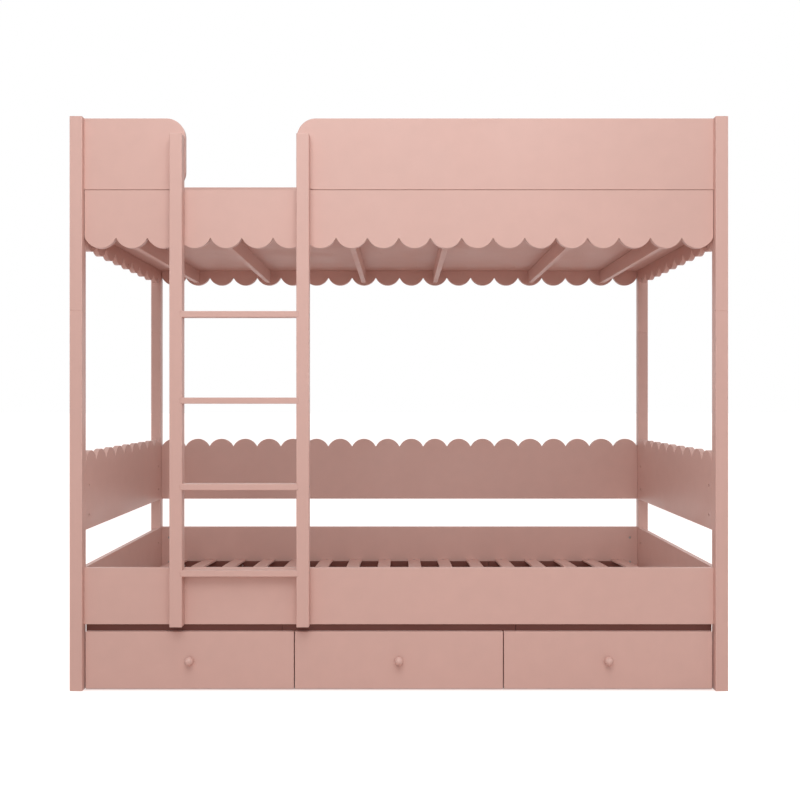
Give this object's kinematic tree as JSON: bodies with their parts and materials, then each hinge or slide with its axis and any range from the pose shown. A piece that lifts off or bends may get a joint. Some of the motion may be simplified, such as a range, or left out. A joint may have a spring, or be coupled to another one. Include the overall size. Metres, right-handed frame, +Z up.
{
  "type": "bunk bed",
  "caption": "Painted wooden bunk bed with scalloped boards and rails, a solid upper base with guards, sprung lower slats, a fixed ladder and roll-out drawers on castors.",
  "frame": {"origin": "on the floor, at the middle of the footprint with the ladder and the knobs", "axes": "+X along the bed towards its right end, +Y from the ladder side to the back, +Z up"},
  "size_m": [2.09, 0.993, 1.825],
  "materials": {
    "pink_paint": "satin painted board and solid wood",
    "pink_slats": "satin painted bent slats",
    "drawer_box": "satin painted drawer sides and bottom",
    "fitting_steel": "zinc plated fittings and screws",
    "dowel_beech": "bare beech",
    "castor_steel": "zinc plated sheet",
    "wheel_plastic": "dark moulded wheels"
  },
  "bodies": {
    "frame": {"post_lower_front_left": "pink_paint", "post_lower_front_right": "pink_paint", "post_lower_back_left": "pink_paint", "post_lower_back_right": "pink_paint", "post_upper_front_left": "pink_paint", "post_upper_front_right": "pink_paint", "post_upper_back_left": "pink_paint", "post_upper_back_right": "pink_paint", "lower_rail_front": "pink_paint", "lower_rail_back": "pink_paint", "lower_rail_left": "pink_paint", "lower_rail_right": "pink_paint", "scalloped_board_back": "pink_paint", "scalloped_board_left": "pink_paint", "scalloped_board_right": "pink_paint", "valance_front": "pink_paint", "valance_back": "pink_paint", "valance_left": "pink_paint", "valance_right": "pink_paint", "guard_front_short": "pink_paint", "guard_front_long": "pink_paint", "guard_back": "pink_paint", "guard_left": "pink_paint", "guard_right": "pink_paint", "upper_base_panel": "pink_paint", "base_battens": "pink_paint", "slat_ledgers": "pink_paint", "ladder_stile_left": "pink_paint", "ladder_stile_right": "pink_paint", "ladder_rungs": "pink_paint", "bed_slats": "pink_slats", "connector_studs": "fitting_steel", "connector_cams": "fitting_steel", "frame_dowels": "dowel_beech", "frame_screws": "fitting_steel", "ladder_fixings": "fitting_steel"},
    "drawer_left": {"drawer_left_front": "pink_paint", "drawer_left_box": "drawer_box", "drawer_left_bottom": "drawer_box", "drawer_left_knob": "pink_paint", "drawer_left_castors": "castor_steel", "drawer_left_fixings": "fitting_steel"},
    "drawer_left_wheels_front": {"drawer_left_wheels_front": "wheel_plastic"},
    "drawer_left_wheels_rear": {"drawer_left_wheels_rear": "wheel_plastic"},
    "drawer_middle": {"drawer_middle_front": "pink_paint", "drawer_middle_box": "drawer_box", "drawer_middle_bottom": "drawer_box", "drawer_middle_knob": "pink_paint", "drawer_middle_castors": "castor_steel", "drawer_middle_fixings": "fitting_steel"},
    "drawer_middle_wheels_front": {"drawer_middle_wheels_front": "wheel_plastic"},
    "drawer_middle_wheels_rear": {"drawer_middle_wheels_rear": "wheel_plastic"},
    "drawer_right": {"drawer_right_front": "pink_paint", "drawer_right_box": "drawer_box", "drawer_right_bottom": "drawer_box", "drawer_right_knob": "pink_paint", "drawer_right_castors": "castor_steel", "drawer_right_fixings": "fitting_steel"},
    "drawer_right_wheels_front": {"drawer_right_wheels_front": "wheel_plastic"},
    "drawer_right_wheels_rear": {"drawer_right_wheels_rear": "wheel_plastic"}
  },
  "joints": [
    {"name": "drawer_left_slide", "type": "slide", "parent": "frame", "child": "drawer_left", "axis": [0, -1, 0], "range_m": [0, 0.9]},
    {"name": "drawer_left_wheels_front_spin", "type": "hinge", "parent": "drawer_left", "child": "drawer_left_wheels_front", "pos_m": [-0.66733, -0.398, 0.02], "axis": [1, 0, 0], "continuous": true},
    {"name": "drawer_left_wheels_rear_spin", "type": "hinge", "parent": "drawer_left", "child": "drawer_left_wheels_rear", "pos_m": [-0.66733, 0.337, 0.02], "axis": [1, 0, 0], "continuous": true},
    {"name": "drawer_middle_slide", "type": "slide", "parent": "frame", "child": "drawer_middle", "axis": [0, -1, 0], "range_m": [0, 0.9]},
    {"name": "drawer_middle_wheels_front_spin", "type": "hinge", "parent": "drawer_middle", "child": "drawer_middle_wheels_front", "pos_m": [0, -0.398, 0.02], "axis": [1, 0, 0], "continuous": true},
    {"name": "drawer_middle_wheels_rear_spin", "type": "hinge", "parent": "drawer_middle", "child": "drawer_middle_wheels_rear", "pos_m": [0, 0.337, 0.02], "axis": [1, 0, 0], "continuous": true},
    {"name": "drawer_right_slide", "type": "slide", "parent": "frame", "child": "drawer_right", "axis": [0, -1, 0], "range_m": [0, 0.9]},
    {"name": "drawer_right_wheels_front_spin", "type": "hinge", "parent": "drawer_right", "child": "drawer_right_wheels_front", "pos_m": [0.66733, -0.398, 0.02], "axis": [1, 0, 0], "continuous": true},
    {"name": "drawer_right_wheels_rear_spin", "type": "hinge", "parent": "drawer_right", "child": "drawer_right_wheels_rear", "pos_m": [0.66733, 0.337, 0.02], "axis": [1, 0, 0], "continuous": true}
  ],
  "couplings": [
    {"joint": "drawer_left_wheels_front_spin", "follows": "drawer_left_slide", "rad_per_m": 50},
    {"joint": "drawer_left_wheels_rear_spin", "follows": "drawer_left_slide", "rad_per_m": 50},
    {"joint": "drawer_middle_wheels_front_spin", "follows": "drawer_middle_slide", "rad_per_m": 50},
    {"joint": "drawer_middle_wheels_rear_spin", "follows": "drawer_middle_slide", "rad_per_m": 50},
    {"joint": "drawer_right_wheels_front_spin", "follows": "drawer_right_slide", "rad_per_m": 50},
    {"joint": "drawer_right_wheels_rear_spin", "follows": "drawer_right_slide", "rad_per_m": 50}
  ]
}
